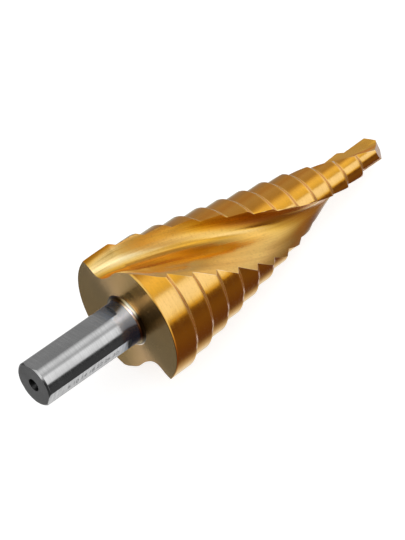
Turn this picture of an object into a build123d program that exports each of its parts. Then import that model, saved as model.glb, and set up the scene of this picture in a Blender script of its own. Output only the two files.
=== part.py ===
from build123d import *
import math
import os

# Step drill for sheet metal, millimetres.
# One solid: a round shank with three flats, a cone of thirteen steps
# and two helical flutes that run from the back face to the point.
# The drill lies on its side on the floor, Z up, point towards +X.

# ---------------------------------------------------------------- dimensions
STEPS = 13              # number of steps
FIRST_DIA = 6.0         # diameter of the smallest step
STEP_DIA = 2.0          # diameter added by each step
PITCH = 5.38            # axial length of one step
SHOULDER = 1.1          # axial length of the cone between two steps
BACK_Z = 25.1           # back face of the largest step, from the shank end
LAST_CORNER_Z = 30.76   # front corner of the largest step
LENGTH = 98.6           # shank end to the point
RIM_CHAMFER = 0.28      # broken edge around the back face

SHANK_DIA = 10.0        # round shank
SHANK_CHAMFER = 0.35    # chamfer at the shank end
COLLAR_RELIEF = 0.03    # radius ground away between the flats and the fillet
NECK_R = 0.9            # fillet between shank and back face

FLAT_OFFSET = 4.54      # shank axis to each flat
FLAT_END = 21.9         # end of the flats, from the shank end
FLAT_AZ = (-49.6, 70.4, 190.4)   # directions the flats face, degrees

CENTRE_R = 1.4          # mouth of the centre hole
CENTRE_PILOT_R = 0.65   # pilot of the centre hole
CENTRE_DEPTH = 4.0      # depth of the pilot

# point: two relief planes z = POINT_Z - a x - b y, half a turn apart
POINT_Z = 98.6
POINT_A = 1.02
POINT_B = 0.33

# flute profile in units of the local radius, at the back and at the point:
# (across the flute from the cutting corner, out along the cutting corner)
PROFILE_BACK = [
    (-0.012, 1.08), (0, 1), (0.017, 0.953), (0.035, 0.839), (0.055, 0.731),
    (0.095, 0.676), (0.156, 0.638), (0.241, 0.609), (0.372, 0.584),
    (0.507, 0.575), (0.619, 0.548), (0.708, 0.511), (0.855, 0.437),
    (0.909, 0.392), (1.05, 0.27),
]
PROFILE_POINT = [
    (-0.020, 1.08), (0, 1), (0.012, 0.955), (0.05, 0.82), (0.112, 0.60),
    (0.185, 0.34), (0.225, 0.20), (0.29, 0.10), (0.39, 0.01),
    (0.51, -0.08), (0.61, -0.165), (0.70, -0.25), (0.855, -0.41),
    (0.92, -0.485), (1.06, -0.65),
]
ENVELOPE_Z = 30.66      # where the cone that scales the profile starts
# station along the axis, share of the point profile, azimuth of the
# cutting corner in degrees
FLUTE = [
    (22.0, -0.011, -100.1), (25.4, 0.0, -93.8), (30.0, 0.093, -85.3),
    (35.0, 0.122, -76.0), (40.0, 0.136, -66.0), (45.0, 0.146, -55.0),
    (50.0, 0.161, -43.0), (55.0, 0.181, -30.3), (60.0, 0.207, -17.4),
    (65.0, 0.238, -4.3), (70.0, 0.289, 9.0), (75.0, 0.340, 22.9),
    (80.0, 0.410, 37.4), (85.0, 0.500, 51.8), (89.8, 0.660, 63.6),
    (94.0, 0.876, 72.6), (98.0, 1.033, 79.9), (102.0, 1.100, 87.0),
]

# how the drill lies: direction of up around the shank axis and the drop of
# the point, both in degrees, and the centre of the shank end
UP_AZ = -38.364
POINT_DROP = 7.729
SHANK_END = (-48.607, 0.0, 17.929)

# ---------------------------------------------------------------- base plane
tilt = math.radians(-POINT_DROP)
turn = math.radians(UP_AZ)
axis = Vector(math.cos(tilt), 0, math.sin(tilt))
lift = Vector(-math.sin(tilt), 0, math.cos(tilt))
side = axis.cross(lift)
x_local = lift * math.cos(turn) - side * math.sin(turn)
base = Plane(origin=SHANK_END, x_dir=x_local, z_dir=axis)
# half plane through the axis, local X outward and local Y along the axis
half_plane = Plane(origin=SHANK_END, x_dir=x_local, z_dir=x_local.cross(axis))


def step_radius(k):
    """Radius of step k, counted from the point."""
    return (FIRST_DIA + STEP_DIA * (k - 1)) / 2


def corner_z(k):
    """Height of the front corner of step k, from the shank end."""
    return LAST_CORNER_Z + PITCH * (STEPS - k)


def envelope(z):
    """Radius of the cone that the flute profile is scaled to."""
    r = step_radius(STEPS) - (z - ENVELOPE_Z) * (STEP_DIA / 2) / PITCH
    return max(step_radius(1), min(step_radius(STEPS), r))


def flute_section(share, azimuth, radius):
    """Open flute profile at one station, turned to its azimuth."""
    pts = []
    a = math.radians(azimuth)
    for (ub, vb), (up, vp) in zip(PROFILE_BACK, PROFILE_POINT):
        u = ((1 - share) * ub + share * up) * radius
        v = ((1 - share) * vb + share * vp) * radius
        pts.append((v * math.cos(a) - u * math.sin(a),
                    v * math.sin(a) + u * math.cos(a)))
    return pts


# ---------------------------------------------------------------- cone blank
# the blank starts with the short round collar beyond the flats
shank_r = SHANK_DIA / 2
collar_r = shank_r - COLLAR_RELIEF
back_r = step_radius(STEPS)
collar_outline = [
    (0, FLAT_END),
    (collar_r, FLAT_END),
    (collar_r, BACK_Z - NECK_R),
]
step_outline = [
    (collar_r + NECK_R, BACK_Z),
    (back_r - RIM_CHAMFER, BACK_Z),
    (back_r, BACK_Z + RIM_CHAMFER),
]
for k in range(STEPS, 1, -1):
    step_outline.append((step_radius(k), corner_z(k)))
    step_outline.append((step_radius(k - 1), corner_z(k) + SHOULDER))
step_outline += [(step_radius(1), LENGTH + 4), (0, LENGTH + 4), (0, FLAT_END)]
neck_centre = (collar_r + NECK_R, BACK_Z - NECK_R)
neck_mid = (neck_centre[0] - NECK_R * math.sqrt(0.5),
            neck_centre[1] + NECK_R * math.sqrt(0.5))

with BuildPart() as blank:
    with BuildSketch(half_plane):
        with BuildLine():
            Polyline(*collar_outline)
            ThreePointArc(collar_outline[-1], neck_mid, step_outline[0])
            Polyline(*step_outline)
        make_face()
    revolve(axis=Axis(base.origin, base.z_dir), revolution_arc=360)

# ---------------------------------------------------------------- flutes
with BuildPart() as flute_a:
    for z, share, azimuth in FLUTE:
        r = envelope(z)
        a = math.radians(azimuth)
        pts = flute_section(share, azimuth, r)
        # closing corners well outside the body, in the same turned frame
        far = []
        for u, v in ((1.5 * r, 0.27 * r), (1.5 * r, 1.5 * r), (-0.02 * r, 1.5 * r)):
            far.append((v * math.cos(a) - u * math.sin(a),
                        v * math.sin(a) + u * math.cos(a)))
        with BuildSketch(base.offset(z)):
            with BuildLine():
                Spline(*pts)
                Polyline(pts[-1], *far, pts[0])
            make_face()
    loft()

with BuildPart() as flute_b:
    add(flute_a.part.rotate(Axis(base.origin, base.z_dir), 180))

# ---------------------------------------------------------------- shank flats
with BuildPart() as flats:
    for az in FLAT_AZ:
        c, s = math.cos(math.radians(az)), math.sin(math.radians(az))
        out = base.x_dir * c + base.y_dir * s
        flat_plane = Plane(origin=base.origin + out * FLAT_OFFSET,
                           x_dir=base.z_dir, z_dir=out)
        with BuildSketch(flat_plane):
            with Locations(((FLAT_END - 4) / 2, 0)):
                RectangleRounded(FLAT_END + 4, 8, 1.0)
        extrude(amount=3)

# ---------------------------------------------------------------- centre hole
with BuildPart() as centre_hole:
    with BuildSketch(half_plane):
        with BuildLine():
            cone = (CENTRE_R - CENTRE_PILOT_R) * math.sqrt(3)
            Polyline((0, -1), (CENTRE_R, -1), (CENTRE_R, 0),
                     (CENTRE_PILOT_R, cone),
                     (CENTRE_PILOT_R, CENTRE_DEPTH),
                     (0, CENTRE_DEPTH + CENTRE_PILOT_R * 0.6), (0, -1))
        make_face()
    revolve(axis=Axis(base.origin, base.z_dir), revolution_arc=360)

# ---------------------------------------------------------------- shank
# the stretch with the flats, three round strips between them
with BuildPart() as shank:
    with BuildSketch(half_plane):
        with BuildLine():
            Polyline((0, 0), (shank_r - SHANK_CHAMFER, 0), (shank_r, SHANK_CHAMFER),
                     (shank_r, FLAT_END), (0, FLAT_END), (0, 0))
        make_face()
    revolve(axis=Axis(base.origin, base.z_dir), revolution_arc=360)
    add(flats.part, mode=Mode.SUBTRACT)
    add(centre_hole.part, mode=Mode.SUBTRACT)

# ---------------------------------------------------------------- step drill
with BuildPart() as step_drill_bit:
    add(blank.part)
    add(flute_a.part, mode=Mode.SUBTRACT)
    add(flute_b.part, mode=Mode.SUBTRACT)
    for sgn in (1, -1):
        normal = (base.x_dir * (sgn * POINT_A) + base.y_dir * (sgn * POINT_B)
                  + base.z_dir)
        relief = Plane(origin=base.origin + base.z_dir * POINT_Z, z_dir=normal)
        split(bisect_by=relief, keep=Keep.BOTTOM)
    add(shank.part)

step_drill_bit.part.label = "step_drill_bit"
os.makedirs("parts", exist_ok=True)
export_step(step_drill_bit.part, "parts/step_drill_bit.step")

box = step_drill_bit.part.bounding_box()
print("solids", len(step_drill_bit.part.solids()),
      "volume", round(step_drill_bit.part.volume, 1),
      "valid", step_drill_bit.part.is_valid)
print("box", box.min, box.max)
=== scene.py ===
import math

import bmesh
import bpy
import numpy as np
from mathutils import Matrix, Vector


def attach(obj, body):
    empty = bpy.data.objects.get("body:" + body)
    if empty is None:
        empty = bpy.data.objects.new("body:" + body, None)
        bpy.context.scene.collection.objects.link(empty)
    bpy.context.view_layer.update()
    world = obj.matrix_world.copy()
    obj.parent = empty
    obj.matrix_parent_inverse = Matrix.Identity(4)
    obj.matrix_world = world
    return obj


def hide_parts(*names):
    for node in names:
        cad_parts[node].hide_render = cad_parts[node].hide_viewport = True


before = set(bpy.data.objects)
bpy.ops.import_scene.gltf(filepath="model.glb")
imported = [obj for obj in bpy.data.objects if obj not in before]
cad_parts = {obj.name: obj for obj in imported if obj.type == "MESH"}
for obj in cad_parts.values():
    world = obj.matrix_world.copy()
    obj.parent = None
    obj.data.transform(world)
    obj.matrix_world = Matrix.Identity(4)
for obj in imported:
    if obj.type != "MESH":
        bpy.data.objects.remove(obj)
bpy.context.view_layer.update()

scene = bpy.context.scene

# ------------------------------------------------------------------ the frame
# The drill's own axes: x towards the photograph's viewer, z along the drill
# from the shank end to the point. Lengths below are millimetres.
UP_AZ = -38.364
POINT_DROP = 7.729
SHANK_END = np.array((-48.607, 0.0, 17.929))
_t, _w = math.radians(-POINT_DROP), math.radians(UP_AZ)
AX = np.array((math.cos(_t), 0.0, math.sin(_t)))
_lift = np.array((-math.sin(_t), 0.0, math.cos(_t)))
_side = np.cross(AX, _lift)
E1 = _lift * math.cos(_w) - _side * math.sin(_w)
E2 = np.cross(AX, E1)
BASIS = np.stack((E1, E2, AX))          # rows


def to_world(p):
    """Local millimetres to metres in the shared frame."""
    return (SHANK_END + np.asarray(p, float) @ BASIS) / 1000.0


# ------------------------------------------------------------- drill geometry
STEPS = 13
PITCH = 5.38
SHOULDER = 1.1
BACK_Z = 25.1
RIM = 0.10
LAST_CORNER_Z = 30.76
POINT_Z, POINT_A, POINT_B = 98.6, 1.02, 0.33
SHANK_R, NECK_R = 5.0, 0.9
SHANK_CHAMFER = 0.35
FLAT_OFFSET, FLAT_END = 4.54, 21.9
FLAT_AZ = (-49.6, 70.4, 190.4)
RELIEF = 0.27 / 115.0          # radius lost per degree behind the cutting edge
AXIAL_RELIEF = 0.00103         # height lost per degree behind the cutting edge

PROFILE_BACK = np.array([
    (-0.012, 1.08), (0, 1), (0.017, 0.953), (0.035, 0.839), (0.055, 0.731),
    (0.095, 0.676), (0.156, 0.638), (0.241, 0.609), (0.372, 0.584),
    (0.507, 0.575), (0.619, 0.548), (0.708, 0.511), (0.855, 0.437),
    (0.909, 0.392), (1.05, 0.27)])
PROFILE_POINT = np.array([
    (-0.020, 1.08), (0, 1), (0.012, 0.955), (0.05, 0.82), (0.112, 0.60),
    (0.185, 0.34), (0.225, 0.20), (0.29, 0.10), (0.39, 0.01),
    (0.51, -0.08), (0.61, -0.165), (0.70, -0.25), (0.855, -0.41),
    (0.92, -0.485), (1.06, -0.65)])
SHARE = np.array([
    (20, -0.02), (25.38, 0), (30.66, .105), (37, .13), (42.5, .14),
    (48, .155), (53, .172), (58.7, .2), (64.2, .232), (69.6, .285),
    (75, .34), (80, .41), (85, .5), (89.8, .66), (93, .82), (96, 1.0),
    (102, 1.1)])
AZIMUTH = np.array([
    (20, -104), (25.38, -93.8), (30, -85.3), (35, -76), (40, -66),
    (45, -55), (50, -43), (55, -30.3), (60, -17.4), (65, -4.3), (70, 9),
    (75, 22.9), (80, 37.4), (85, 51.8), (88, 59.6), (91, 66.5),
    (94, 72.6), (97, 78.2), (102, 87)])


def spline(x, y):
    """Natural cubic spline through y at x, as a function."""
    x, y = np.asarray(x, float), np.asarray(y, float)
    flat = y.ndim == 1
    if flat:
        y = y[:, None]
    n, h = len(x), np.diff(x)
    a, b = np.zeros((n, n)), np.zeros((n, y.shape[1]))
    a[0, 0] = a[-1, -1] = 1
    for i in range(1, n - 1):
        a[i, i - 1:i + 2] = h[i - 1], 2 * (h[i - 1] + h[i]), h[i]
        b[i] = 6 * ((y[i + 1] - y[i]) / h[i] - (y[i] - y[i - 1]) / h[i - 1])
    m = np.linalg.solve(a, b)

    def f(q):
        q = np.atleast_1d(np.asarray(q, float))
        i = np.clip(np.searchsorted(x, q) - 1, 0, n - 2)
        d, e, g = h[i][:, None], (x[i + 1] - q)[:, None], (q - x[i])[:, None]
        out = (m[i] * e ** 3 + m[i + 1] * g ** 3) / (6 * d) \
            + (y[i] / d - m[i] * d / 6) * e + (y[i + 1] / d - m[i + 1] * d / 6) * g
        return out[:, 0] if flat else out
    return f


def monotone(x, y):
    """Piecewise cubic through the points with no overshoot."""
    x, y = np.asarray(x, float), np.asarray(y, float)
    h, s = np.diff(x), np.diff(y) / np.diff(x)
    d = np.zeros(len(x))
    for i in range(1, len(x) - 1):
        if s[i - 1] * s[i] > 0:
            w1, w2 = 2 * h[i] + h[i - 1], h[i] + 2 * h[i - 1]
            d[i] = (w1 + w2) / (w1 / s[i - 1] + w2 / s[i])
    d[0], d[-1] = s[0], s[-1]

    def f(q):
        i = min(max(int(np.searchsorted(x, q)) - 1, 0), len(x) - 2)
        t = (q - x[i]) / h[i]
        return ((1 + 2 * t) * (1 - t) ** 2 * y[i] + t * (1 - t) ** 2 * h[i] * d[i]
                + t * t * (3 - 2 * t) * y[i + 1] + t * t * (t - 1) * h[i] * d[i + 1])
    return f


share_at = monotone(SHARE[:, 0], SHARE[:, 1])
azimuth_at = spline(AZIMUTH[:, 0], AZIMUTH[:, 1])


def corner_z(k):
    """Height of the front corner of step k, counted from the point."""
    fine = {3: -0.16, 4: -0.16, 6: 0.08}
    return LAST_CORNER_Z + PITCH * (STEPS - k) + fine.get(k, 0.0)


def step_r(k):
    return 2.0 + k


def envelope(z):
    return float(np.clip(15 - (z - 30.66) / PITCH, 3.0, 15.0))


# outer profile of the lands as a polyline, with the broken corner and the
# small root radius of every shoulder, and the heights where rings are cut
OUT_Z, OUT_R, RINGS = [], [], []


def outer(z, r):
    OUT_Z.append(z)
    OUT_R.append(r)


outer(BACK_Z, 15 - RIM)
outer(BACK_Z + 0.5 * RIM, 15 - 0.35 * RIM)
outer(BACK_Z + RIM + 0.03, 15.0)
for k in range(STEPS, 1, -1):
    r, zc = step_r(k), corner_z(k)
    outer(zc - 0.055, r)
    outer(zc - 0.012, r - 0.012)
    outer(zc + 0.035, r - 0.045)
    outer(zc + 0.085, r - 0.089)
    outer(zc + SHOULDER - 0.10, r - 1 + 0.085)
    outer(zc + SHOULDER - 0.035, r - 1 + 0.035)
    outer(zc + SHOULDER + 0.03, r - 1 + 0.008)
    outer(zc + SHOULDER + 0.11, r - 1)
    RINGS.append(zc)
outer(POINT_Z + 4, 3.0)
OUT_Z, OUT_R = np.array(OUT_Z), np.array(OUT_R)

stations = list(OUT_Z[:-1])
for z0, z1 in zip(OUT_Z[:-1], OUT_Z[1:]):
    n = int((z1 - z0) / (0.34 if z1 - z0 < 3 else 0.5))
    stations += [z0 + (z1 - z0) * (i + 1) / (n + 1) for i in range(n)
                 if z0 + (z1 - z0) * (i + 1) / (n + 1) < POINT_Z + 0.6]
stations = np.array(sorted(set(np.round(stations, 5))))

NF, NL = 58, 46                 # segments across a flute and along a land
EDGE = 0.08                     # width of the strip along a long edge
_c = np.r_[0, np.cumsum(np.hypot(*np.diff(PROFILE_BACK, axis=0).T))]


def section(z):
    """Half of the section at z: the flute from its cutting corner to its
    heel, then the land back to the other cutting corner. Returns the points
    for both halves, the flute's grinding coordinates, the land azimuths and the outer radius."""
    w, R = share_at(z), float(np.interp(z, OUT_Z, OUT_R))
    P = (1 - w) * PROFILE_BACK + w * PROFILE_POINT
    d = np.r_[0, np.cumsum(np.hypot(*np.diff(P, axis=0).T))]
    q = np.linspace(0, d[-1], 420)
    P = spline(d, P)(q) * envelope(z)
    tq = np.interp(q, d, _c)                       # common coordinate
    r, de = np.hypot(P[:, 0], P[:, 1]), np.degrees(np.arctan2(P[:, 0], P[:, 1]))
    i = int(np.argmax(r < R))
    f = (R - r[i - 1]) / (r[i] - r[i - 1])
    a, ta = P[i - 1] + (P[i] - P[i - 1]) * f, tq[i - 1] + (tq[i] - tq[i - 1]) * f
    lim = R - RELIEF * (180 - de)
    m = np.arange(len(r)) > int(np.argmin(r))
    j = int(np.argmax(m & (r > lim)))
    g0, g1 = r[j - 1] - lim[j - 1], r[j] - lim[j]
    f = -g0 / (g1 - g0)
    b, tb = P[j - 1] + (P[j] - P[j - 1]) * f, tq[j - 1] + (tq[j] - tq[j - 1]) * f
    Q = np.vstack([a, P[i:j], b])
    T = np.r_[ta, tq[i:j], tb]
    c = np.r_[0, np.cumsum(np.hypot(*np.diff(Q, axis=0).T))]
    # thin strips along both edges
    w = EDGE / c[-1]
    s = np.r_[0, np.linspace(w, 1 - w, NF - 1), 1]
    F = np.stack([np.interp(s * c[-1], c, Q[:, 0]), np.interp(s * c[-1], c, Q[:, 1])], 1)
    TF = np.interp(s * c[-1], c, T)
    dc, dh = math.degrees(math.atan2(a[0], a[1])), math.degrees(math.atan2(b[0], b[1]))
    all_lag, thin = 180 - dh + dc, math.degrees(EDGE / R)
    lag = np.linspace(all_lag - thin, thin, NL - 1)
    lr = R - RELIEF * lag
    la = np.radians(dc - lag + 180)                # from the v axis towards u
    L = np.stack([lr * np.sin(la), lr * np.cos(la)], 1)
    pts = np.vstack([F, L])
    ramp = min(1.0, max(0.0, (z - BACK_Z - 0.4) / 3.0))
    zz = z - ramp * np.r_[AXIAL_RELIEF * all_lag * s, AXIAL_RELIEF * lag]
    twist = np.radians(azimuth_at(zz))
    u, v = pts[:, 0], pts[:, 1]
    out = []
    for half in (0.0, math.pi):
        h = twist + half
        out.append(np.stack([v * np.cos(h) - u * np.sin(h),
                             v * np.sin(h) + u * np.cos(h), zz], 1))
    laz = np.degrees(la)
    return out, TF, laz, R


# ------------------------------------------------------------------ materials
def new_material(name):
    m = bpy.data.materials.new(name)
    m.use_nodes = True
    nt = m.node_tree
    nt.nodes.clear()
    out = nt.nodes.new("ShaderNodeOutputMaterial")
    bsdf = nt.nodes.new("ShaderNodeBsdfPrincipled")
    nt.links.new(bsdf.outputs["BSDF"], out.inputs["Surface"])
    return m, nt, bsdf


class Nodes:
    """Short helpers for one node tree."""

    def __init__(self, nt):
        self.nt = nt

    def add(self, kind, **values):
        n = self.nt.nodes.new(kind)
        for key, value in values.items():
            setattr(n, key, value)
        return n

    def link(self, a, b):
        self.nt.links.new(a, b)

    def put(self, socket, value):
        if isinstance(value, bpy.types.NodeSocket):
            self.link(value, socket)
        elif value is not None:
            socket.default_value = value

    def math(self, op, a, b=None, c=None, clamp=False):
        n = self.add("ShaderNodeMath", operation=op, use_clamp=clamp)
        self.put(n.inputs[0], a)
        self.put(n.inputs[1], b)
        self.put(n.inputs[2], c)
        return n.outputs[0]

    def dot(self, a, vec):
        n = self.add("ShaderNodeVectorMath", operation="DOT_PRODUCT")
        self.link(a, n.inputs[0])
        n.inputs[1].default_value = tuple(float(x) for x in vec)
        return n.outputs["Value"]

    def ramp(self, fac, stops, interpolation="LINEAR"):
        n = self.add("ShaderNodeValToRGB")
        cr = n.color_ramp
        cr.interpolation = interpolation
        stops = sorted(stops)
        while len(cr.elements) > 1:
            cr.elements.remove(cr.elements[-1])
        for i, (pos, col) in enumerate(stops):
            e = cr.elements[0] if i == 0 else cr.elements.new(pos)
            e.position = pos
            if not hasattr(col, "__len__"):
                col = (col, col, col)
            e.color = (*col, 1.0)
        self.put(n.inputs["Fac"], fac)
        return n.outputs["Color"]

    def smooth(self, x, lo, hi, a=0.0, b=1.0):
        n = self.add("ShaderNodeMapRange", interpolation_type="SMOOTHSTEP")
        self.put(n.inputs["Value"], x)
        n.inputs["From Min"].default_value = lo
        n.inputs["From Max"].default_value = hi
        n.inputs["To Min"].default_value = a
        n.inputs["To Max"].default_value = b
        return n.outputs["Result"]

    def remap(self, x, lo, hi, a, b):
        n = self.add("ShaderNodeMapRange")
        self.put(n.inputs["Value"], x)
        n.inputs["From Min"].default_value = lo
        n.inputs["From Max"].default_value = hi
        n.inputs["To Min"].default_value = a
        n.inputs["To Max"].default_value = b
        return n.outputs["Result"]

    def mix(self, fac, a, b, blend="MIX"):
        n = self.add("ShaderNodeMix", data_type="RGBA", blend_type=blend)
        self.put(n.inputs["Factor"], fac)
        for s, v in ((n.inputs[6], a), (n.inputs[7], b)):
            if isinstance(v, bpy.types.NodeSocket):
                self.link(v, s)
            else:
                s.default_value = (*v, 1.0) if len(v) == 3 else v
        return n.outputs[2]

    def uv(self, scale):
        """The grinding coordinates, in millimetres times scale."""
        t = self.add("ShaderNodeUVMap", uv_map="grind")
        n = self.add("ShaderNodeVectorMath", operation="MULTIPLY")
        self.link(t.outputs["UV"], n.inputs[0])
        n.inputs[1].default_value = (scale[0] * 100, scale[1] * 100, 1.0)
        return n.outputs["Vector"]

    def noise(self, vec, scale=1.0, detail=3.0, rough=0.5, dims="2D"):
        n = self.add("ShaderNodeTexNoise", noise_dimensions=dims)
        self.link(vec, n.inputs["Vector"])
        n.inputs["Scale"].default_value = scale
        n.inputs["Detail"].default_value = detail
        n.inputs["Roughness"].default_value = rough
        return n.outputs["Fac"]

    def bump(self, height, strength, distance):
        n = self.add("ShaderNodeBump")
        n.inputs["Strength"].default_value = strength
        n.inputs["Distance"].default_value = distance
        self.link(height, n.inputs["Height"])
        return n.outputs["Normal"]


GOLD = (0.88, 0.43, 0.05)
PALE = (0.92, 0.70, 0.26)


def gold(name, base, grain, rough=0.17, spread=0.04, aniso=0.0, turn=0.0,
         lines=0.000004, speckle=0.000002, blotch=0.10, stain=(0.16, 0.16),
         painted_light_by_azimuth=None, painted_light_patches=()):
    """Titanium nitride on ground steel: fine lines, matt specks, soft tone, and optionally painted highlights and
    painted shade by azimuth or in patches.
    """
    m, nt, b = new_material(name)
    k = Nodes(nt)
    fine = k.noise(k.uv(grain), 1.0, 3.0, 0.6)
    spots = k.noise(k.uv((1.6, 1.6)), 1.0, 3.0, 0.6)
    cloud = k.noise(k.uv(stain), 1.0, 3.0, 0.5)
    tone = k.mix(k.remap(cloud, 0.3, 0.7, 0.0, 1.0),
                 tuple(c * 0.94 for c in base), tuple(min(1.0, c * 1.04) for c in base))
    streak = k.remap(fine, 0.32, 0.68, 0.0, 1.0)
    tone = k.mix(k.math("MULTIPLY", streak, blotch), tone, tuple(c * 0.78 for c in base))
    grit = k.remap(spots, 0.52, 0.72, 0.0, 1.0)
    tone = k.mix(k.math("MULTIPLY", grit, blotch), tone, tuple(c * 0.7 for c in base))
    worn = k.add("ShaderNodeAttribute", attribute_type="GEOMETRY", attribute_name="wear")
    chips = k.remap(k.noise(k.uv((0.9, 0.9)), 1.0, 3.0, 0.6), 0.38, 0.62, 0.35, 1.0)
    # painted highlights and painted shade by azimuth round the drill's axis, multiplied into the colour
    if painted_light_by_azimuth:
        a = k.add("ShaderNodeSeparateXYZ")
        k.link(k.add("ShaderNodeUVMap", uv_map="grind").outputs["UV"], a.inputs[0])
        turns = k.math("FRACT", k.math("MULTIPLY_ADD", a.outputs["X"], 10 / (2 * math.pi), 0.5))
        tone = k.mix(1.0, tone, k.ramp(turns, [((t + 180) / 360, c) for t, c in painted_light_by_azimuth]),
                     "MULTIPLY")
    # painted highlights and painted shade: patches of the flute are made paler or darker to stand in for light and
    # shade
    for side, length, colour in painted_light_patches:
        a = k.add("ShaderNodeSeparateXYZ")
        k.link(k.add("ShaderNodeUVMap", uv_map="grind").outputs["UV"], a.inputs[0])
        across = k.ramp(k.math("MULTIPLY", a.outputs["X"], 100 / 28.0), side)
        along = k.ramp(k.math("MULTIPLY", a.outputs["Y"], 1.0), length)
        tone = k.mix(k.math("MULTIPLY", across, along), tone, colour)
    rub = k.math("MULTIPLY", k.smooth(worn.outputs["Fac"], 0.15, 1.0), chips)
    tone = k.mix(rub, tone, PALE)
    k.link(tone, b.inputs["Base Color"])
    b.inputs["Metallic"].default_value = 1.0
    r = k.math("ADD", k.remap(fine, 0.3, 0.7, rough - spread, rough + spread),
               k.math("MULTIPLY", grit, 0.04))
    k.link(r, b.inputs["Roughness"])
    if aniso:
        b.inputs["Anisotropic"].default_value = aniso
        b.inputs["Anisotropic Rotation"].default_value = turn
        tan = k.add("ShaderNodeTangent", direction_type="UV_MAP", uv_map="grind")
        k.link(tan.outputs["Tangent"], b.inputs["Tangent"])
    n1 = k.add("ShaderNodeBump")
    n1.inputs["Strength"].default_value = 1.0
    n1.inputs["Distance"].default_value = lines
    k.link(fine, n1.inputs["Height"])
    n2 = k.add("ShaderNodeBump")
    n2.inputs["Strength"].default_value = 1.0
    n2.inputs["Distance"].default_value = speckle
    k.link(spots, n2.inputs["Height"])
    k.link(n1.outputs["Normal"], n2.inputs["Normal"])
    k.link(n2.outputs["Normal"], b.inputs["Normal"])
    return m


mat_land = gold("gold_land", GOLD, (0.12, 2.0), rough=0.14, blotch=0.22, lines=0.000003,
                speckle=0.000005)
mat_shoulder = gold("gold_shoulder", (0.95, 0.62, 0.11), (0.5, 4.0), rough=0.24)
mat_flute = gold("gold_flute", (0.90, 0.465, 0.055), (1.5, 0.03), rough=0.17, aniso=0.6,
                 lines=0.00002, blotch=0.40, painted_light_patches=[
                     # the outer side towards the point: less blue, so its highlights are less pale (painted light),
                     # then a darker band (painted shade)
                     ([(0.0, 1), (0.12, 1), (0.18, 0), (1.0, 0)],
                      [(0.0, 0), (0.42, 0), (0.48, 1), (0.64, 1), (0.69, 0), (1.0, 0)],
                      (0.90, 0.46, 0.012)),
                     ([(0.0, 1), (0.12, 1), (0.18, 0), (1.0, 0)],
                      [(0.0, 0), (0.45, 0), (0.50, 1), (0.57, 1), (0.61, 0), (1.0, 0)],
                      (0.68, 0.29, 0.006)),
                     # the strip behind the cutting edge, darkened: painted shade
                     ([(0.0, 1), (0.055, 1), (0.10, 0), (1.0, 0)],
                      [(0.0, 1), (0.33, 1), (0.36, 0.3), (0.41, 0.3), (0.45, 0.85),
                       (0.52, 0.85), (0.57, 0), (1.0, 0)],
                      (0.50, 0.18, 0.008)),
                     # the root: painted shade half way, a painted highlight at the back and a darker band beside it
                     # (painted shade)
                     ([(0.0, 0), (0.23, 0), (0.29, 1), (0.40, 1), (0.46, 0), (1.0, 0)],
                      [(0.0, 0), (0.37, 0), (0.44, 1), (0.50, 1), (0.57, 0), (1.0, 0)],
                      (0.53, 0.30, 0.045)),
                     ([(0.0, 0), (0.25, 0), (0.31, 1), (0.40, 1), (0.43, 0), (1.0, 0)],
                      [(0.0, 1), (0.36, 1), (0.42, 0), (1.0, 0)],
                      (0.97, 0.68, 0.11)),
                     ([(0.0, 0), (0.40, 0), (0.44, 1), (0.56, 1), (0.62, 0), (1.0, 0)],
                      [(0.0, 1), (0.36, 1), (0.43, 0), (1.0, 0)],
                      (0.73, 0.45, 0.085)),
                     # a painted highlight along the ridge at the back
                     ([(0.0, 0), (0.07, 0), (0.12, 1), (0.17, 1), (0.21, 0), (1.0, 0)],
                      [(0.0, 1), (0.31, 1), (0.36, 0), (1.0, 0)],
                      (0.99, 0.60, 0.10)),
                     # the thin end: painted highlights with a band of painted shade between them
                     ([(0.0, 1), (0.45, 1), (0.55, 0), (1.0, 0)],
                      [(0.0, 0), (0.60, 0), (0.66, 1), (0.76, 1), (0.80, 0), (1.0, 0)],
                      (0.99, 0.54, 0.06)),
                     ([(0.0, 0), (0.42, 0), (0.50, 1), (1.0, 1)],
                      [(0.0, 0), (0.71, 0), (0.75, 1), (0.80, 1), (0.83, 0), (1.0, 0)],
                      (0.58, 0.24, 0.02)),
                     ([(0.0, 1), (1.0, 1)], [(0.0, 0), (0.83, 0), (0.87, 1), (1.0, 1)],
                      (0.99, 0.56, 0.08))])
mat_point = gold("gold_point", (0.92, 0.53, 0.10), (0.25, 2.5), rough=0.25, lines=0.0000015,
                 speckle=0.0000005)
mat_back = gold("bronze_back", (0.80, 0.43, 0.11), (0.15, 3.0), rough=0.21, aniso=0.95,
                turn=0.25, lines=0.000003, blotch=0.22)
# painted highlight and painted shade round the neck: a bright crescent on one side and dark sides, by azimuth
NECK_PAINTED_LIGHT = [(-180, (.7, .5, .3)), (-100, (.4, .3, .2)), (-84, (.14, .08, .02)), (-50, (.2, .11, .03)),
             (-38, (.7, .55, .35)), (-28, (1, .95, .9)), (-6, (1, .95, .9)), (4, (.8, .7, .55)),
             (13, (.14, .08, .04)), (60, (.10, .06, .03)), (76, (.6, .55, .5)), (90, (1, .95, .9)),
             (110, (.7, .6, .5)), (180, (.7, .5, .3))]
mat_neck = gold("gold_neck", (0.96, 0.76, 0.46), (0.4, 4.0), rough=0.14, painted_light_by_azimuth=NECK_PAINTED_LIGHT)


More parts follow.
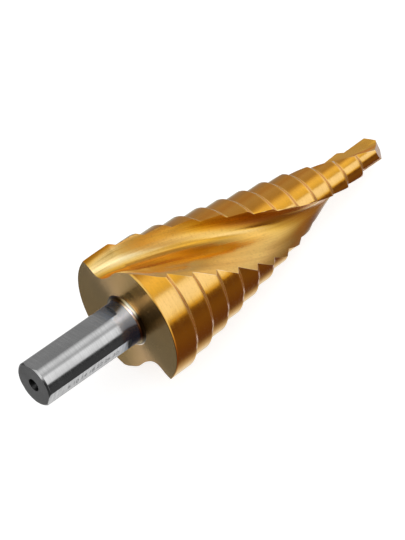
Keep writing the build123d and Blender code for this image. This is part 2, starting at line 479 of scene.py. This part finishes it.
def steel(name, base, grain, rough=0.2, spread=0.06, lines=0.00003, painted_neck_shade=None, streak=0.30):
    m, nt, b = new_material(name)
    k = Nodes(nt)
    fine = k.noise(k.uv(grain), 1.0, 3.0, 0.6)
    cloud = k.noise(k.uv((0.25, 0.25)), 1.0, 3.0, 0.5)
    tone = k.mix(k.remap(cloud, 0.3, 0.7, 0.0, 1.0),
                 tuple(c * 0.93 for c in base), tuple(min(1.0, c * 1.06) for c in base))
    tone = k.mix(k.remap(fine, 0.35, 0.65, 0.0, streak), tone, tuple(c * 0.72 for c in base))
    if painted_neck_shade:
        # painted shade: the base darkens over the last millimetres before the neck, where the shade falls
        a = k.add("ShaderNodeSeparateXYZ")
        k.link(k.add("ShaderNodeUVMap", uv_map="grind").outputs["UV"], a.inputs[0])
        tone = k.mix(k.smooth(a.outputs["Y"], painted_neck_shade[0] / 100, painted_neck_shade[1] / 100), tone,
                     tuple(c * painted_neck_shade[2] for c in base))
    k.link(tone, b.inputs["Base Color"])
    b.inputs["Metallic"].default_value = 1.0
    k.link(k.remap(fine, 0.3, 0.7, rough - spread, rough + spread), b.inputs["Roughness"])
    k.link(k.bump(fine, 1.0, lines), b.inputs["Normal"])
    return m


# both shank materials darken towards the neck: painted shade
mat_shank = steel("shank_round", (0.60, 0.60, 0.60), (0.12, 2.0), rough=0.12, spread=0.04,
                  lines=0.000003, painted_neck_shade=(19.2, 22.2, 0.42))
mat_flat = steel("shank_flat", (0.80, 0.80, 0.80), (0.10, 1.6), rough=0.18, spread=0.05,
                 lines=0.000008, painted_neck_shade=(18.0, 22.0, 0.3), streak=0.65)
mat_end = steel("shank_end", (0.42, 0.42, 0.42), (0.4, 6.0), rough=0.35)
# the centre hole's steel is nearly black: painted shade in the recess
mat_hole = steel("centre_hole_painted_shade", (0.05, 0.05, 0.05), (0.4, 4.0), rough=0.3)
mat_mark = steel("etched_marks", (0.30, 0.30, 0.31), (2.0, 2.0), rough=0.4)
MATERIALS = [mat_land, mat_shoulder, mat_flute, mat_point, mat_back, mat_neck,
             mat_shank, mat_flat, mat_end, mat_hole, mat_mark]
LAND, SHOULDER_M, FLUTE, POINT, BACK, NECK, SHANK, FLAT, END, HOLE, MARK = range(11)


# ------------------------------------------------------------ cone and flutes
bm = bmesh.new()
uv = bm.loops.layers.uv.new("grind")
half = NF + NL
N = 2 * half
rings, tcoord, lcoord, radii = [], [], [], []
wear = bm.verts.layers.float.new("wear")
rng = np.random.default_rng(11)
worn = np.array([zc + d for zc in RINGS for d in (-0.012, 0.035)])
nick = np.abs(rng.normal(0, 1, (2, len(stations)))) ** 2.2 * 0.012
nick = np.minimum(nick, 0.09)
for i, z in enumerate(stations):
    (A, B), TF, laz, R = section(float(z))
    P = np.vstack([A, B])
    # the cutting edges are slightly chipped
    if z > BACK_Z + 0.6:
        for h, j in enumerate((0, half)):
            P[j, :2] *= 1 - nick[h, i] / np.hypot(*P[j, :2])
    ring = [bm.verts.new(to_world(p)) for p in P]
    edge = np.min(np.abs(worn - z)) < 1e-3
    for j, v in enumerate(ring):
        if j % half in (0, NF) or (edge and j % half >= NF):
            v[wear] = 1.0 if edge or j % half else 0.4
        if z < BACK_Z + RIM and j % half >= NF:
            v[wear] = 0.25
    rings.append(ring)
    tcoord.append(TF)
    lcoord.append(laz)
    radii.append(R)


def flute_uv(i, j):
    return ((tcoord[i][j] * 14.0) / 100, stations[i] / 100)


def land_uv(i, j):
    a = lcoord[i][j - NF - 1] if NF < j < half else (lcoord[i][0] - 0.4 if j == NF else 180)
    a = a + float(azimuth_at(stations[i])[0])
    return (math.radians(a) * 10.0 / 100, stations[i] / 100)


for i in range(len(stations) - 1):
    z0, z1 = stations[i], stations[i + 1]
    mid = (z0 + z1) / 2
    slope = (radii[i + 1] - radii[i]) / (z1 - z0)
    for j in range(N):
        j2 = (j + 1) % N
        f = bm.faces.new((rings[i][j], rings[i][j2], rings[i + 1][j2], rings[i + 1][j]))
        jj = j % half
        is_flute = jj < NF
        if is_flute:
            f.material_index = FLUTE
            co = (flute_uv(i, jj), flute_uv(i, jj + 1), flute_uv(i + 1, jj + 1), flute_uv(i + 1, jj))
        else:
            f.material_index = SHOULDER_M if slope < -0.3 else LAND
            co = (land_uv(i, jj), land_uv(i, jj + 1), land_uv(i + 1, jj + 1), land_uv(i + 1, jj))
        for lp, c in zip(f.loops, co):
            lp[uv].uv = c
        f.smooth = True

# edges along the cutting corners and the heels stay crisp
crisp = []
for i in range(len(stations) - 1):
    for j in (0, NF, half, half + NF):
        crisp.append(bm.edges.get((rings[i][j], rings[i + 1][j])))
for e in crisp:
    e.smooth = False

# back face: a fan of rings from the section's outline in to the neck
outline = np.array([[*(SHANK_END * 0)]] * 0)
first = rings[0]
pos = np.vstack(section(float(stations[0]))[0])
ang = np.unwrap(np.arctan2(pos[:, 1], pos[:, 0]))
rad = np.hypot(pos[:, 0], pos[:, 1])
levels = [first]
LV = 9
for lv in range(1, LV + 1):
    t = lv / LV
    rr = rad * (1 - t) + (SHANK_R + NECK_R) * t
    levels.append([bm.verts.new(to_world((r * math.cos(a), r * math.sin(a), BACK_Z)))
                   for r, a in zip(rr, ang)])


def polar_uv(v):
    p = (np.array(v.co) * 1000 - SHANK_END) @ BASIS.T
    return p, math.atan2(p[1], p[0]), math.hypot(p[0], p[1])


def set_polar(f, along=None):
    ps = [polar_uv(lp.vert) for lp in f.loops]
    a0 = ps[0][1]
    for lp, (p, a, r) in zip(f.loops, ps):
        while a - a0 > math.pi:
            a -= 2 * math.pi
        while a - a0 < -math.pi:
            a += 2 * math.pi
        lp[uv].uv = (a * 10.0 / 100, (r if along is None else along(p, r)) / 100)


for lv in range(LV):
    for j in range(N):
        j2 = (j + 1) % N
        f = bm.faces.new((levels[lv + 1][j], levels[lv + 1][j2], levels[lv][j2], levels[lv][j]))
        f.material_index = BACK
        f.smooth = True
        set_polar(f)
for j in range(N):
    bm.edges.get((first[j], first[(j + 1) % N])).smooth = False

# neck fillet from the back face to the shank
prev = levels[-1]
NK = 8
neck_rows = [prev]
for q in range(1, NK + 1):
    t = math.pi / 2 * q / NK
    r = SHANK_R + NECK_R - NECK_R * math.sin(t)
    z = BACK_Z - NECK_R + NECK_R * math.cos(t)
    row = [bm.verts.new(to_world((r * math.cos(a), r * math.sin(a), z))) for a in ang]
    neck_rows.append(row)
for q in range(NK):
    for j in range(N):
        j2 = (j + 1) % N
        f = bm.faces.new((neck_rows[q + 1][j], neck_rows[q + 1][j2], neck_rows[q][j2], neck_rows[q][j]))
        f.material_index = NECK
        f.smooth = True
        set_polar(f, along=lambda p, r: p[2] * 2 + r)
for j in range(N):
    bm.edges.get((prev[j], prev[(j + 1) % N])).smooth = False

# the gold body is closed where the steel shank begins
f = bm.faces.new(neck_rows[-1][::-1])
f.material_index = NECK
for j in range(N):
    bm.edges.get((neck_rows[-1][j], neck_rows[-1][(j + 1) % N])).smooth = False

# far end closed well beyond the point, then cut by the two relief planes
cap = bm.faces.new(rings[-1])
cap.material_index = POINT
for s in (1.0, -1.0):
    nrm = E1 * s * POINT_A + E2 * s * POINT_B + AX
    nrm = nrm / np.linalg.norm(nrm)
    co = to_world((0, 0, POINT_Z))
    geom = bm.verts[:] + bm.edges[:] + bm.faces[:]
    res = bmesh.ops.bisect_plane(bm, geom=geom, dist=1e-8, plane_co=Vector(co),
                                 plane_no=Vector(nrm), clear_outer=True)
    cut = [e for e in res["geom_cut"] if isinstance(e, bmesh.types.BMEdge)]
    made = bmesh.ops.contextual_create(bm, geom=cut)["faces"]
    for f in made:
        f.material_index = POINT
        f.smooth = False
        ctr = np.array((0, 0, POINT_Z))
        for lp in f.loops:
            p = (np.array(lp.vert.co) * 1000 - SHANK_END) @ BASIS.T
            lp[uv].uv = ((p[0] * POINT_B - p[1] * POINT_A) / 100, (p[0] * POINT_A + p[1] * POINT_B) / 100)
    for e in cut:
        if e.is_valid:
            e.smooth = False
big = [f for f in bm.faces if len(f.verts) > 4]
bmesh.ops.triangulate(bm, faces=big)

mesh = bpy.data.meshes.new("step_drill_body")
bmesh.ops.recalc_face_normals(bm, faces=bm.faces)
bm.to_mesh(mesh)
bm.free()
for m in MATERIALS:
    mesh.materials.append(m)
body = bpy.data.objects.new("step_drill_body", mesh)
scene.collection.objects.link(body)

# ----------------------------------------------------------------- the shank
NS = 256
prof = [(SHANK_R, BACK_Z - NECK_R - 0.0), (SHANK_R, 12.0), (SHANK_R, SHANK_CHAMFER + 0.03),
        (SHANK_R - 0.03, SHANK_CHAMFER - 0.04), (SHANK_R - SHANK_CHAMFER + 0.05, 0.05),
        (SHANK_R - SHANK_CHAMFER - 0.02, 0.0), (3.0, 0.0), (1.46, 0.0), (1.38, 0.05),
        (0.65, 1.32), (0.64, 4.0), (0.0, 4.4)]
sb = bmesh.new()
rows = []
for r, z in prof:
    if r == 0:
        rows.append([sb.verts.new((0, 0, z / 1000))])
    else:
        rows.append([sb.verts.new((r * math.cos(2 * math.pi * i / NS) / 1000,
                                   r * math.sin(2 * math.pi * i / NS) / 1000, z / 1000))
                     for i in range(NS)])
for a, b in zip(rows, rows[1:]):
    for i in range(NS):
        i2 = (i + 1) % NS
        if len(b) == 1:
            sb.faces.new((a[i], b[0], a[i2]))
        else:
            sb.faces.new((a[i], b[i], b[i2], a[i2]))
sb.faces.new(rows[0])
bmesh.ops.recalc_face_normals(sb, faces=sb.faces)
shank_mesh = bpy.data.meshes.new("shank_blank")
sb.to_mesh(shank_mesh)
sb.free()
shank = bpy.data.objects.new("shank_blank", shank_mesh)
scene.collection.objects.link(shank)


def rounded_cutter(az):
    """A block whose underside makes one flat, with rounded corners in plan
    and a small radius where it runs out."""
    cb = bmesh.new()
    w, zc, r = 4.0, FLAT_END, 1.0
    loop = [(-w, -3.0)]
    loop += [(w, -3.0)]
    for i in range(13):
        t = math.pi / 2 * i / 12
        loop.append((w - r + r * math.cos(t), zc - r + r * math.sin(t)))
    for i in range(13):
        t = math.pi / 2 + math.pi / 2 * i / 12
        loop.append((-w + r + r * math.cos(t), zc - r + r * math.sin(t)))
    # the loop is narrower at the floor of the flat than above it
    levels_ = [(0.0, 0.0), (0.03, 0.02), (0.10, 0.05), (0.34, 0.09), (3.0, 0.12)]
    vs = []
    ctr = np.array((0.0, zc - 8.0))
    for h, grow in levels_:
        ring = []
        for x, y in loop:
            yy = y + (grow if y > 0 else 0.0)
            ring.append(cb.verts.new((x / 1000, yy / 1000, h / 1000)))
        vs.append(ring)
    n = len(loop)
    for a, b in zip(vs, vs[1:]):
        for i in range(n):
            i2 = (i + 1) % n
            cb.faces.new((a[i], a[i2], b[i2], b[i]))
    cb.faces.new(vs[0][::-1])
    cb.faces.new(vs[-1])
    bmesh.ops.recalc_face_normals(cb, faces=cb.faces)
    me = bpy.data.meshes.new("flat_cutter")
    cb.to_mesh(me)
    cb.free()
    # x across, y along the drill, z outwards
    a = math.radians(az)
    out = Vector((math.cos(a), math.sin(a), 0))
    across = Vector((-math.sin(a), math.cos(a), 0))
    m = Matrix((across, Vector((0, 0, 1)), out)).transposed().to_4x4()
    m.translation = out * (FLAT_OFFSET / 1000)
    if m.determinant() < 0:
        m = m @ Matrix.Diagonal((-1, 1, 1, 1))
    me.transform(m)
    o = bpy.data.objects.new("flat_cutter", me)
    scene.collection.objects.link(o)
    return o


cutters = []
for az in FLAT_AZ:
    c = rounded_cutter(az)
    cutters.append(c)
    md = shank.modifiers.new("flat", "BOOLEAN")
    md.operation = "DIFFERENCE"
    md.solver = "EXACT"
    md.object = c
dg = bpy.context.evaluated_depsgraph_get()
cut_mesh = bpy.data.meshes.new_from_object(shank.evaluated_get(dg))
for o in cutters + [shank]:
    bpy.data.objects.remove(o)

sb = bmesh.new()
sb.from_mesh(cut_mesh)
suv = sb.loops.layers.uv.new("grind")
for f in sb.faces:
    c = f.calc_center_median() * 1000
    n = f.normal
    rr = math.hypot(c.x, c.y)
    kind = SHANK
    for az in FLAT_AZ:
        out = Vector((math.cos(math.radians(az)), math.sin(math.radians(az)), 0))
        if abs(c.dot(out) - FLAT_OFFSET) < 0.002 and n.dot(out) > 0.99:
            kind = FLAT
            across = Vector((-out.y, out.x, 0))
            break
        if c.dot(out) > FLAT_OFFSET - 0.001 and rr < 4.999 and c.z > 5 and n.dot(out) < 0.99:
            kind = FLAT
            across = Vector((-out.y, out.x, 0))
            break
    if kind == SHANK:
        if c.z < 0.01 and rr > 1.4 and n.z < -0.9:
            kind = END
        elif rr < 1.45 and c.z < 6:
            kind = HOLE
    f.material_index = kind
    f.smooth = True
    for lp in f.loops:
        p = lp.vert.co * 1000
        if kind == FLAT:
            lp[suv].uv = (p.dot(across) / 100, p.z / 100)
        elif kind == END:
            a = math.atan2(p.y, p.x)
            a0 = math.atan2(c.y, c.x)
            a += 2 * math.pi * round((a0 - a) / (2 * math.pi))
            lp[suv].uv = (a * 5 / 100, math.hypot(p.x, p.y) / 100)
        else:
            a = math.atan2(p.y, p.x)
            a0 = math.atan2(c.y, c.x)
            a += 2 * math.pi * round((a0 - a) / (2 * math.pi))
            lp[suv].uv = (a * 5 / 100, p.z / 100)
for e in sb.edges:
    if len(e.link_faces) == 2:
        a, b = e.link_faces
        e.smooth = a.normal.angle(b.normal, 0) < math.radians(9)

# step diameters etched on one flat: flat strokes that stand 5 microns proud
text = bpy.data.curves.new("step_sizes", "FONT")
text.body = "6 10 14 18 22 26 30"
text_obj = bpy.data.objects.new("step_sizes", text)
scene.collection.objects.link(text_obj)
dg = bpy.context.evaluated_depsgraph_get()
text_mesh = bpy.data.meshes.new_from_object(text_obj.evaluated_get(dg))
bpy.data.objects.remove(text_obj)
tb = bmesh.new()
tb.from_mesh(text_mesh)
bmesh.ops.remove_doubles(tb, verts=tb.verts, dist=1e-5)
bmesh.ops.recalc_face_normals(tb, faces=tb.faces)
xs = [v.co.x for v in tb.verts]
ys = [v.co.y for v in tb.verts]
x_lo, x_span, y_lo, y_span = min(xs), max(xs) - min(xs), min(ys), max(ys) - min(ys)
_a = math.radians(FLAT_AZ[1])
_out = Vector((math.cos(_a), math.sin(_a), 0))
_across = Vector((-_out.y, _out.x, 0))
bmesh.ops.triangulate(tb, faces=tb.faces)


def mark_point(v, height):
    zz = 5.2 + (v.co.x - x_lo) / x_span * 13.6
    yy = 0.75 - (v.co.y - y_lo) / y_span * 1.4
    return (_out * (FLAT_OFFSET + height) + _across * yy + Vector((0, 0, zz))) / 1000


top = {v: sb.verts.new(mark_point(v, 0.005)) for v in tb.verts}
low = {v: sb.verts.new(mark_point(v, -0.02)) for v in tb.verts}
marks = []
for f in tb.faces:
    marks.append(sb.faces.new([top[v] for v in f.verts]))
    marks.append(sb.faces.new([low[v] for v in reversed(f.verts)]))
for e in tb.edges:
    if len(e.link_faces) == 1:
        a, b = e.verts
        marks.append(sb.faces.new((top[a], top[b], low[b], low[a])))
bmesh.ops.recalc_face_normals(sb, faces=marks)
for f in marks:
    f.material_index = MARK
    f.smooth = False
    for lp in f.loops:
        p = lp.vert.co * 1000
        lp[suv].uv = (p.dot(_across) / 100, p.z / 100)
tb.free()
for v in sb.verts:
    v.co = Vector(to_world(np.array(v.co) * 1000))
shank_done = bpy.data.meshes.new("step_drill_shank")
sb.to_mesh(shank_done)
sb.free()
for m in MATERIALS:
    shank_done.materials.append(m)
shank = bpy.data.objects.new("step_drill_shank", shank_done)
scene.collection.objects.link(shank)

for o in (body, shank):
    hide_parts("step_drill_bit")
    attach(o, "root")

# ----------------------------------------------------------------- the studio
floor_mesh = bpy.data.meshes.new("floor")
S = 4.0
floor_mesh.from_pydata([(-S, -S, 0), (S, -S, 0), (S, S, 0), (-S, S, 0)], [], [(0, 1, 2, 3)])
floor = bpy.data.objects.new("floor", floor_mesh)
scene.collection.objects.link(floor)
fm, fnt, fb = new_material("floor_white")
fb.inputs["Base Color"].default_value = (0.55, 0.55, 0.55, 1)
fb.inputs["Roughness"].default_value = 1.0
fb.inputs["Specular IOR Level"].default_value = 0.0
fb.inputs["Emission Color"].default_value = (1, 1, 1, 1)
fb.inputs["Emission Strength"].default_value = 0.80
floor_mesh.materials.append(fm)
floor.visible_glossy = False

world = bpy.data.worlds.new("studio")
scene.world = world
world.use_nodes = True
wt = world.node_tree
wt.nodes.clear()
w = Nodes(wt)


def deg(d):
    return (d + 180.0) / 360.0


def sky_of(k, vec, zones, top):
    """Light by direction: ramps round the drill (degrees), one for each zone
    along it, from behind the shank to beyond the point."""
    x1, x2, x3 = k.dot(vec, E1), k.dot(vec, E2), k.dot(vec, AX)
    p = k.math("MULTIPLY_ADD", k.math("ARCTAN2", x2, x1), 1 / (2 * math.pi), 0.5)
    out = None
    for stops, lo, hi in zones:
        c = [(deg(a), tuple(x / top for x in (e if hasattr(e, "__len__") else (e, e, e))))
             for a, e in stops]
        c = k.ramp(p, c)
        out = c if out is None else k.mix(k.smooth(x3, lo, hi), out, c)
    return k.mix(1.0, out, (top, top, top), "MULTIPLY")


BEHIND = [(-180, .4), (-160, .6), (-130, .6), (-100, .6), (-70, .9), (-50, 1.15),
          (-20, 1.15), (-5, .8), (10, .35), (25, .12), (50, .05), (70, .04), (110, .06),
          (150, .12), (166, .2), (180, .4)]
LOW = [(-180, .17), (-165, .17), (-150, .1), (-105, .07), (-85, .14), (-70, .3), (-58, .65),
       (-48, .85), (-28, .88), (-16, .55), (-4, .25), (14, .15), (34, .09), (62, .05),
       (110, .04), (130, .08), (146, .15), (160, .18), (180, .17)]
DIM = [(-180, .25), (-150, .1), (-105, .08), (-80, .16), (-62, .42), (-48, .5), (-37, .48), (-27, 1.2),
       (-18, 1.4), (-12, .95), (-5, .62), (5, .56), (15, .52), (30, .76), (38, .5), (50, .58), (63, .15),
       (80, .06), (110, .04), (130, .09), (146, .22), (160, .25), (180, .22)]
NEAR = [(-180, .5), (-150, .22), (-100, .14), (-75, .5), (-55, .86), (-43, .95), (-12, .98),
        (-2, .70), (8, .70), (18, .85), (28, 1.03), (42, 1.06), (50, .95), (61, .74), (70, .44),
        (80, .18), (92, .08), (112, .06), (130, .15), (150, .34), (180, .5)]
MID = [(-180, .6), (-150, .36), (-112, .3), (-95, .5), (-78, .80), (-60, .9), (-36, .97),
       (-26, .76), (-14, .73), (-4, .80), (3, .96), (12, 1.08), (42, 1.04), (50, .95),
       (60, .70), (72, .42), (84, .19), (96, .11), (112, .11), (120, .17), (134, .42), (150, .56), (180, .6)]
BANDS = [(-180, .62), (-168, .44), (-152, .32), (-142, .32), (-112, .335), (-98, .215),
         (-88, .25), (-62, .265), (-54, .275), (-47, .47), (-38, .86), (-31, .97), (-22, .84), (-17, .72),
         (-12, .57), (-7, .67), (-3, .82), (0, 1.13), (8, 1.19), (18, 1.12), (30.5, 1.0),
         (35, .80), (39, .14), (45, .045), (62, .065), (82, .07), (112, .055), (121, .09),
         (136, .54), (145, .76), (160, .86), (180, .68)]
HIGH = [(-180, .54), (-150, .48), (-110, .52), (-75, .64), (-50, .84), (-31, 1.0), (-14, 1.2),
        (5, 1.02), (18, .85), (30, .62), (40, .44), (60, .28), (88, .17), (110, .18),
        (156, .22), (180, .54)]
AHEAD = [(-180, .6), (-150, .5), (-105, .68), (-82, .84), (-57, .88), (-36, .86), (0, .80),
         (26, .64), (47, .50), (70, .34), (98, .24), (122, .2), (148, .38), (160, .6), (168, .72), (180, .6)]
coord = w.add("ShaderNodeTexCoord").outputs["Generated"]
# where each zone takes over from the one behind it
STEPS_ALONG = [(0, 0), (-0.74, -0.58), (-0.36, -0.27), (-0.20, -0.08), (0.0, 0.16),
               (0.22, 0.37), (0.53, 0.74), (0.80, 0.90)]
sky = sky_of(w, coord, [(t, *z) for t, z in zip(
    (BEHIND, LOW, DIM, NEAR, MID, BANDS, HIGH, AHEAD), STEPS_ALONG)], 1.4)
lp = w.add("ShaderNodeLightPath")
seen = w.mix(lp.outputs["Is Camera Ray"], sky, (0.97, 0.97, 0.97))
bg = w.add("ShaderNodeBackground")
w.link(seen, bg.inputs["Color"])
bg.inputs["Strength"].default_value = 1.0
wo = w.add("ShaderNodeOutputWorld")
w.link(bg.outputs["Background"], wo.inputs["Surface"])

# a second, coloured dome that only the gold mirrors: the coating's highlights
# are paler and its shadows redder than bare steel's
dome_bm = bmesh.new()
bmesh.ops.create_uvsphere(dome_bm, u_segments=64, v_segments=32, radius=6.0)
dome_mesh = bpy.data.meshes.new("gold_dome")
dome_bm.to_mesh(dome_mesh)
dome_bm.free()
for f in dome_mesh.polygons:
    f.use_smooth = True
dome = bpy.data.objects.new("gold_dome", dome_mesh)
scene.collection.objects.link(dome)
dm = bpy.data.materials.new("gold_dome")
dm.use_nodes = True
dt = dm.node_tree
dt.nodes.clear()
d = Nodes(dt)
dpos = d.add("ShaderNodeVectorMath", operation="NORMALIZE")
d.link(d.add("ShaderNodeNewGeometry").outputs["Position"], dpos.inputs[0])
dv = dpos.outputs["Vector"]
X_BEHIND = [(-180, (0, 0, 0)), (-150, (0, .2, .5)), (-120, (0, .1, .3)), (-70, (0, .3, .8)), (-30, (0, .3, .9)),
            (0, (0, .1, .4)), (40, (0, 0, 0)), (180, (0, 0, 0))]
X_LOW = [(-180, (0, .05, .16)), (-160, (0, .06, .25)), (-140, (0, .0, .05)), (-120, (0, 0, 0)), (-75, (0, 0, 0)),
         (-50, (0, .1, .3)), (-24, (0, .1, .3)), (0, (0, 0, 0)), (145, (0, 0, 0)),
         (165, (0, .04, .12)), (180, (0, .05, .16))]
X_DIM = [(-180, (0, .05, .1)), (-120, (0, 0, 0)), (-45, (0, 0, 0)), (-34, (0, .1, .8)), (-26, (.15, .45, 4.0)),
         (-18, (.15, .6, 5.0)), (-12, (.04, .24, 2.2)), (-5, (.02, .08, .5)), (3, (.05, 0, .1)), (15, (.14, 0, 0)),
         (30, (.1, .04, 0)), (50, (.1, 0, 0)), (63, (.16, 0, 0)), (90, (.08, 0, 0)),
         (120, (.05, 0, 0)), (180, (0, .05, .1))]
X_NEAR = [(-180, (0, .1, .1)), (-120, (0, 0, 0)), (-60, (0, .05, .4)), (-43, (0, .2, 1.8)),
          (-25, (0, .42, 3.8)), (-12, (0, .42, 4.2)), (-2, (0, .04, 1.0)), (8, (0, .05, .8)),
          (28, (0, .18, 1.8)), (42, (0, .2, 1.8)), (50, (.03, 0, .1)), (61, (.12, 0, 0)),
          (70, (.18, 0, 0)), (92, (.1, 0, 0)), (120, (.1, 0, 0)), (150, (0, .05, 0)),
          (180, (0, .1, .1))]
X_MID = [(-180, (0, .1, .1)), (-120, (0, 0, 0)), (-62, (0, .02, .1)), (-45, (0, .2, 1.5)),
         (-36, (0, .24, 2.0)), (-26, (0, .05, .3)), (-4, (0, 0, 0)), (3, (0, .15, 1.0)),
         (12, (0, .28, 2.3)), (25, (0, .29, 2.4)), (42, (0, .18, 1.2)), (50, (0, .07, .4)),
         (60, (.1, 0, 0)), (72, (.15, 0, 0)), (96, (.13, 0, 0)), (120, (.12, 0, 0)),
         (134, (0, 0, 0)), (180, (0, .1, .1))]
X_BANDS = [(-180, (.08, .14, .1)), (-160, (.11, .18, .2)), (-144, (.03, 0, 0)),
           (-120, (.04, 0, 0)), (-98, (.21, .12, .15)), (-80, (.22, .19, .41)),
           (-56, (.16, .1, .15)), (-46, (.12, .05, 0)), (-36, (0, 0, 0)), (-20, (.14, .15, 0)),
           (-12, (.27, .26, 0)), (-5, (.02, .02, 0)), (-1, (0, .3, 2.5)), (8, (0, .35, 3.5)),
           (22, (.05, .40, 3.3)), (32, (.12, .40, 2.5)), (36.5, (.42, .55, 1.1)),
           (41.5, (.74, .62, .1)), (46, (.13, .06, 0)), (56, (.08, .02, 0)),
           (72, (.12, .05, 0)), (104, (.09, .02, 0)), (122, (.08, .02, 0)), (136, (0, 0, 0)),
           (152, (.02, .1, .1)), (180, (.08, .14, .1))]
X_HIGH = [(-180, (0, .1, .6)), (-150, (0, .05, .4)), (-100, (0, 0, .1)), (-50, (0, .02, .4)), (-31, (0, .1, .8)),
          (-12, (0, .2, 1.7)), (5, (0, .2, 1.6)), (18, (0, .1, .6)), (32, (0, 0, .1)),
          (60, (.08, 0, 0)), (88, (.1, 0, 0)), (130, (.06, 0, 0)), (150, (0, .04, .2)), (180, (0, .1, .6))]
X_AHEAD = [(-180, (0, .14, .9)), (-150, (0, .1, .6)), (-105, (0, .03, .4)), (-80, (0, .06, .8)), (-57, (0, .1, 1.1)),
           (-36, (0, .14, 1.4)), (0, (0, .18, 1.5)), (26, (.02, .1, 1.1)), (47, (0, .04, .6)), (98, (0, 0, .1)),
           (140, (0, 0, 0)), (156, (.02, .08, .5)), (180, (0, .14, .9))]
extra = sky_of(d, dv, [(t, *z) for t, z in zip(
    (X_BEHIND, X_LOW, X_DIM, X_NEAR, X_MID, X_BANDS, X_HIGH, X_AHEAD), STEPS_ALONG)], 5.0)
# two small lamps behind the drill, which the turned back face spreads into a
# fan, and a wide one that lights the thin end of the flute
for spot, wide, colour in (((-0.826, -0.111, -0.553), 0.9962, (1.15, 1.3, 1.85)),
                           ((-0.920, 0.111, -0.375), 0.9962, (1.15, 1.3, 1.85)),
                           ((-0.415, 0.665, 0.621), 0.9915, (0.72, 1.1, 3.8))):
    lamp = d.smooth(d.dot(dv, np.array(spot) @ BASIS), wide, 0.9988)
    extra = d.mix(lamp, extra, colour, "ADD")
em = d.add("ShaderNodeEmission")
d.link(extra, em.inputs["Color"])
em.inputs["Strength"].default_value = 1.0
tr = d.add("ShaderNodeBsdfTransparent")
add = d.add("ShaderNodeAddShader")
d.link(em.outputs["Emission"], add.inputs[0])
d.link(tr.outputs["BSDF"], add.inputs[1])
dout = d.add("ShaderNodeOutputMaterial")
d.link(add.outputs["Shader"], dout.inputs["Surface"])
dm.cycles.emission_sampling = "NONE"
dome_mesh.materials.append(dm)
dome.visible_camera = False
dome.visible_diffuse = False
dome.visible_transmission = False
dome.visible_volume_scatter = False
dome.visible_shadow = False
only_gold = bpy.data.collections.new("gold_only")
only_gold.objects.link(body)
dome.light_linking.receiver_collection = only_gold

# a faint veil of light in front of the back face, seen only from the shank side,
# so that the reflections of the cone in the steel stay neutral
VEIL = [(-180, (.05, .05, .05)), (-115, (.02, .05, .10)), (-60, (0, .02, .05)),
        (-52, (0, .03, .06)), (-44, (.4, .48, .6)), (-36, (1.0, 1.2, 1.4)), (-18, (1.6, 1.75, 1.95)),
        (-11, (1.3, 1.4, 1.5)), (0, (.62, .7, .78)), (17, (.42, .48, .55)), (24, (.3, .34, .4)),
        (29, (0, .02, .05)), (83, (0, .02, .05)), (99, (.02, .05, .09)), (116, (.06, .09, .14)),
        (150, (.05, .05, .05)), (180, (.05, .05, .05))]
veil_bm = bmesh.new()
veil_rows = []
for r, z in ((5.65, 25.04), (9.0, 25.04), (14.7, 25.04)):
    veil_rows.append([veil_bm.verts.new(to_world((r * math.cos(2 * math.pi * i / 96),
                                                  r * math.sin(2 * math.pi * i / 96), z)))
                      for i in range(96)])
for a, b in zip(veil_rows, veil_rows[1:]):
    for i in range(96):
        i2 = (i + 1) % 96
        veil_bm.faces.new((a[i], a[i2], b[i2], b[i]))
veil_mesh = bpy.data.meshes.new("steel_veil")
veil_bm.to_mesh(veil_mesh)
veil_bm.free()
veil = bpy.data.objects.new("steel_veil", veil_mesh)
scene.collection.objects.link(veil)
vm = bpy.data.materials.new("steel_veil")
vm.use_nodes = True
vt = vm.node_tree
vt.nodes.clear()
v = Nodes(vt)
vpos = v.add("ShaderNodeVectorMath", operation="SUBTRACT")
v.link(v.add("ShaderNodeNewGeometry").outputs["Position"], vpos.inputs[0])
vpos.inputs[1].default_value = tuple(SHANK_END / 1000)
vv = vpos.outputs["Vector"]
vp = v.math("MULTIPLY_ADD", v.math("ARCTAN2", v.dot(vv, E2), v.dot(vv, E1)),
            1 / (2 * math.pi), 0.5)
vc = v.ramp(vp, [(deg(a), tuple(x / 2.0 for x in c)) for a, c in VEIL])
vr = v.math("SQRT", v.math("ADD", v.math("POWER", v.dot(vv, E1), 2.0),
                           v.math("POWER", v.dot(vv, E2), 2.0)))
vf = v.math("MULTIPLY", v.smooth(vr, 0.0115, 0.0150, 1.0, 0.45),
            v.math("SUBTRACT", 1.0, v.add("ShaderNodeNewGeometry").outputs["Backfacing"]))
vc = v.mix(vf, (0.0, 0.0, 0.0), vc)
ve = v.add("ShaderNodeEmission")
v.link(vc, ve.inputs["Color"])
ve.inputs["Strength"].default_value = 2.0
vtr = v.add("ShaderNodeBsdfTransparent")
vadd = v.add("ShaderNodeAddShader")
v.link(ve.outputs["Emission"], vadd.inputs[0])
v.link(vtr.outputs["BSDF"], vadd.inputs[1])
vout = v.add("ShaderNodeOutputMaterial")
v.link(vadd.outputs["Shader"], vout.inputs["Surface"])
vm.cycles.emission_sampling = "NONE"
veil_mesh.materials.append(vm)
veil.visible_camera = False
veil.visible_diffuse = False
veil.visible_transmission = False
veil.visible_volume_scatter = False
veil.visible_shadow = False

scene.view_settings.view_transform = "Standard"
scene.view_settings.look = "None"
scene.view_settings.exposure = 0.0
scene.view_settings.gamma = 1.0

# ----------------------------------------------------------------- the camera
cam_local = np.array((499.3111, 0.0, -219.2986))
right = np.array((0.3852801, 0.5722004, 0.7239792)) @ BASIS
up = np.array((0.2679816, -0.8201134, 0.5055688)) @ BASIS
backward = np.cross(right, up)
cam = bpy.data.cameras.new("camera")
cam.sensor_fit = "AUTO"
cam.sensor_width = 36.0
cam.lens = 182.363
cam.shift_x = -0.0003
cam.shift_y = -0.0005
cam.clip_start = 0.01
cam.clip_end = 50.0
cam_obj = bpy.data.objects.new("camera", cam)
scene.collection.objects.link(cam_obj)
m = Matrix((right, up, backward)).transposed().to_4x4()
m.translation = Vector(to_world(cam_local))
cam_obj.matrix_world = m
scene.camera = cam_obj
